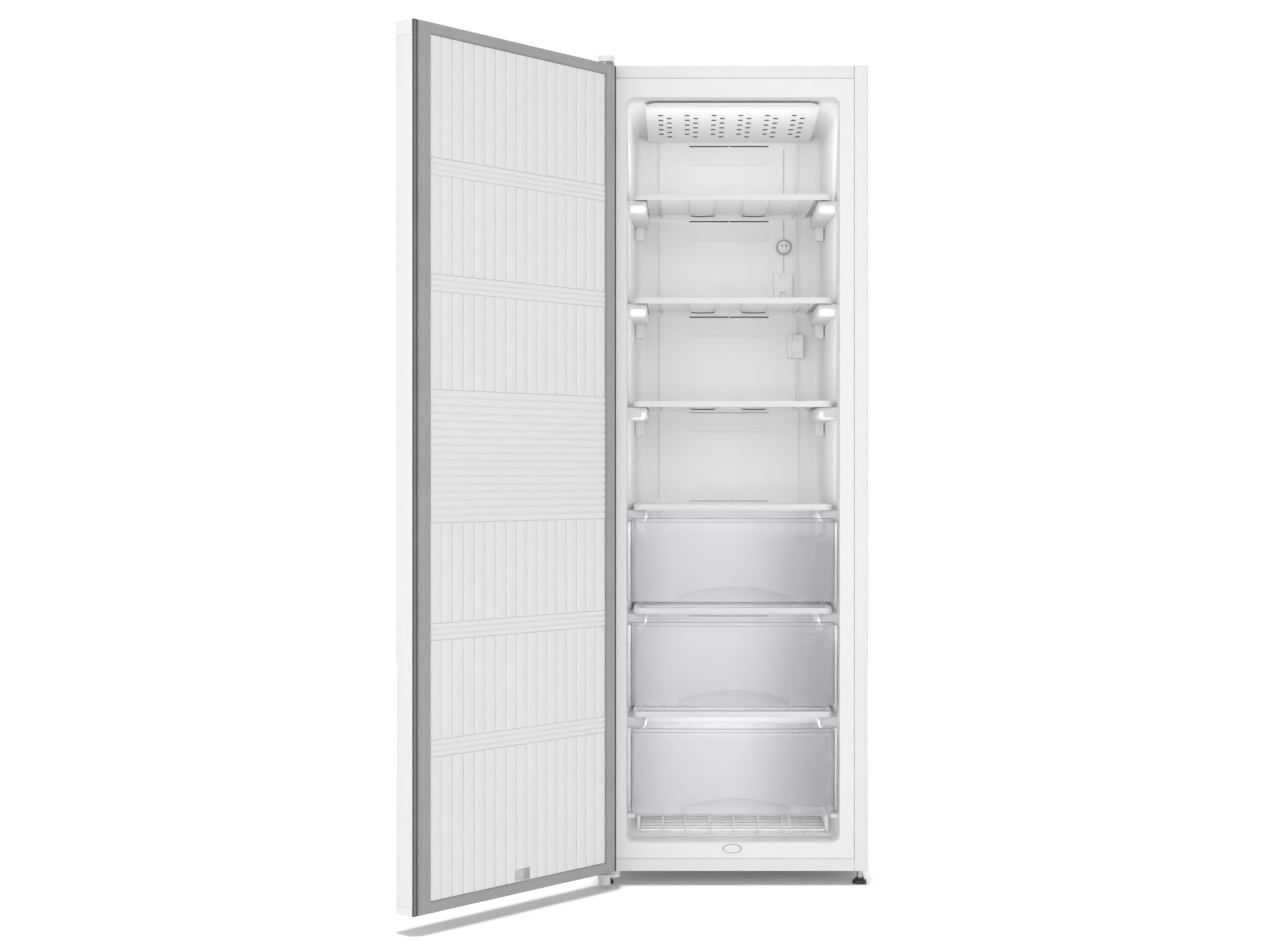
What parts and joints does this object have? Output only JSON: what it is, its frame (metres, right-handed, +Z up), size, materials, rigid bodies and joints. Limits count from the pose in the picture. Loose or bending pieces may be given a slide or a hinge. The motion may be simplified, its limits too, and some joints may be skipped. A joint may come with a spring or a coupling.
{
  "type": "upright freezer",
  "caption": "Upright freezer with an open left-hinged door, shelves, smoke drawers, a wire basket, air duct cover and rear condenser.",
  "frame": {"origin": "middle of the whole footprint, on the floor, with the door standing open", "axes": "+Z up, +Y towards the back of the cabinet, +X to the right as seen from the front"},
  "size_m": [0.9, 0.9952, 1.681],
  "materials": {
    "white_steel": "gloss white enamel",
    "galvanised": "zinc coated",
    "white_liner": "smooth white",
    "foam": "rigid foam",
    "white_plastic": "smooth white",
    "smoke_plastic": "smoke translucent",
    "gasket_grey": "soft matte",
    "white_wire": "white coated wire",
    "black_plastic": "matte black",
    "grey_plastic": "satin grey",
    "copper": "bare copper",
    "aluminium": "bare",
    "black_steel": "satin black enamel",
    "bright_steel": "bright zinc",
    "black_rubber": "soft black"
  },
  "bodies": {
    "cabinet": {"left_side_panel": "white_steel", "right_side_panel": "white_steel", "top_panel": "white_steel", "back_panel": "galvanised", "base_pan": "white_steel", "top_front_rail": "white_steel", "inner_liner": "white_liner", "shelf_rails": "white_liner", "cabinet_foam": "foam", "air_duct_cover": "white_plastic", "ceiling_air_diffuser": "white_plastic", "evaporator_tube": "aluminium", "evaporator_fins": "aluminium", "defrost_heater": "bright_steel", "fan_shroud": "white_plastic", "fan_motor": "galvanised", "thermostat_body": "grey_plastic", "sensor_covers": "white_plastic", "drain_spout": "white_plastic", "lower_hinge_bracket": "white_steel", "upper_hinge_bracket": "bright_steel", "hinge_pins": "bright_steel", "upper_hinge_cover": "white_plastic", "cabinet_screws": "bright_steel", "compressor_plate": "galvanised", "compressor": "black_steel", "compressor_mounts": "black_rubber", "compressor_terminal_cover": "black_plastic", "drip_tray": "grey_plastic", "drain_tube": "grey_plastic", "condenser_tube": "black_steel", "condenser_wires": "black_steel", "condenser_clips": "black_plastic", "refrigerant_pipes": "copper", "filter_drier": "copper", "cord_gland": "black_plastic", "rear_roller_axles": "bright_steel"},
    "shelf_1": {"shelf_1": "white_plastic"},
    "shelf_2": {"shelf_2": "white_plastic"},
    "shelf_3": {"shelf_3": "white_plastic"},
    "shelf_4": {"shelf_4": "white_plastic"},
    "shelf_5": {"shelf_5": "white_plastic"},
    "shelf_6": {"shelf_6": "white_plastic"},
    "drawer_1": {"drawer_1": "smoke_plastic"},
    "drawer_2": {"drawer_2": "smoke_plastic"},
    "drawer_3": {"drawer_3": "smoke_plastic"},
    "basket": {"wire_basket": "white_wire"},
    "knob": {"thermostat_knob": "white_plastic"},
    "fan": {"fan_blade": "white_plastic"},
    "foot_left": {"left_front_foot": "black_plastic"},
    "foot_right": {"right_front_foot": "black_plastic"},
    "roller_left": {"left_rear_roller": "black_plastic"},
    "roller_right": {"right_rear_roller": "black_plastic"},
    "door": {"door_outer_panel": "white_steel", "door_top_cap": "white_plastic", "door_bottom_cap": "white_plastic", "door_foam": "foam", "door_liner": "white_liner", "door_gasket": "gasket_grey", "door_hinge_bushes": "grey_plastic"}
  },
  "joints": [
    {"name": "door_swing", "type": "hinge", "parent": "cabinet", "child": "door", "pos_m": [-0.08597, -0.07686, 0.85], "axis": [0, 0, -1], "range_deg": [-130.3, 4.7]},
    {"name": "shelf_1_slide", "type": "slide", "parent": "cabinet", "child": "shelf_1", "axis": [0, -1, 0], "range_m": [0, 0.3]},
    {"name": "shelf_2_slide", "type": "slide", "parent": "cabinet", "child": "shelf_2", "axis": [0, -1, 0], "range_m": [0, 0.3]},
    {"name": "shelf_3_slide", "type": "slide", "parent": "cabinet", "child": "shelf_3", "axis": [0, -1, 0], "range_m": [0, 0.3]},
    {"name": "shelf_4_slide", "type": "slide", "parent": "cabinet", "child": "shelf_4", "axis": [0, -1, 0], "range_m": [0, 0.3]},
    {"name": "shelf_5_slide", "type": "slide", "parent": "cabinet", "child": "shelf_5", "axis": [0, -1, 0], "range_m": [0, 0.3]},
    {"name": "shelf_6_slide", "type": "slide", "parent": "cabinet", "child": "shelf_6", "axis": [0, -1, 0], "range_m": [0, 0.3]},
    {"name": "drawer_1_slide", "type": "slide", "parent": "cabinet", "child": "drawer_1", "axis": [0, -1, 0], "range_m": [0, 0.29]},
    {"name": "drawer_2_slide", "type": "slide", "parent": "cabinet", "child": "drawer_2", "axis": [0, -1, 0], "range_m": [0, 0.29]},
    {"name": "drawer_3_slide", "type": "slide", "parent": "cabinet", "child": "drawer_3", "axis": [0, -1, 0], "range_m": [0, 0.19]},
    {"name": "basket_slide", "type": "slide", "parent": "cabinet", "child": "basket", "axis": [0, -1, 0], "range_m": [0, 0.19]},
    {"name": "knob_turn", "type": "hinge", "parent": "cabinet", "child": "knob", "pos_m": [0.29703, 0.31764, 1.341], "axis": [0, 1, 0], "range_deg": [-135, 135]},
    {"name": "fan_spin", "type": "hinge", "parent": "cabinet", "child": "fan", "pos_m": [0.17503, 0.34764, 1.04], "axis": [0, 1, 0], "continuous": true},
    {"name": "foot_left_turn", "type": "hinge", "parent": "cabinet", "child": "foot_left", "pos_m": [-0.08397, -0.02536, 0.03], "axis": [0, 0, 1], "continuous": true},
    {"name": "foot_right_turn", "type": "hinge", "parent": "cabinet", "child": "foot_right", "pos_m": [0.43403, -0.02536, 0.03], "axis": [0, 0, 1], "continuous": true},
    {"name": "roller_left_spin", "type": "hinge", "parent": "cabinet", "child": "roller_left", "pos_m": [-0.05997, 0.43264, 0.015], "axis": [1, 0, 0], "continuous": true},
    {"name": "roller_right_spin", "type": "hinge", "parent": "cabinet", "child": "roller_right", "pos_m": [0.41003, 0.43264, 0.015], "axis": [1, 0, 0], "continuous": true}
  ]
}
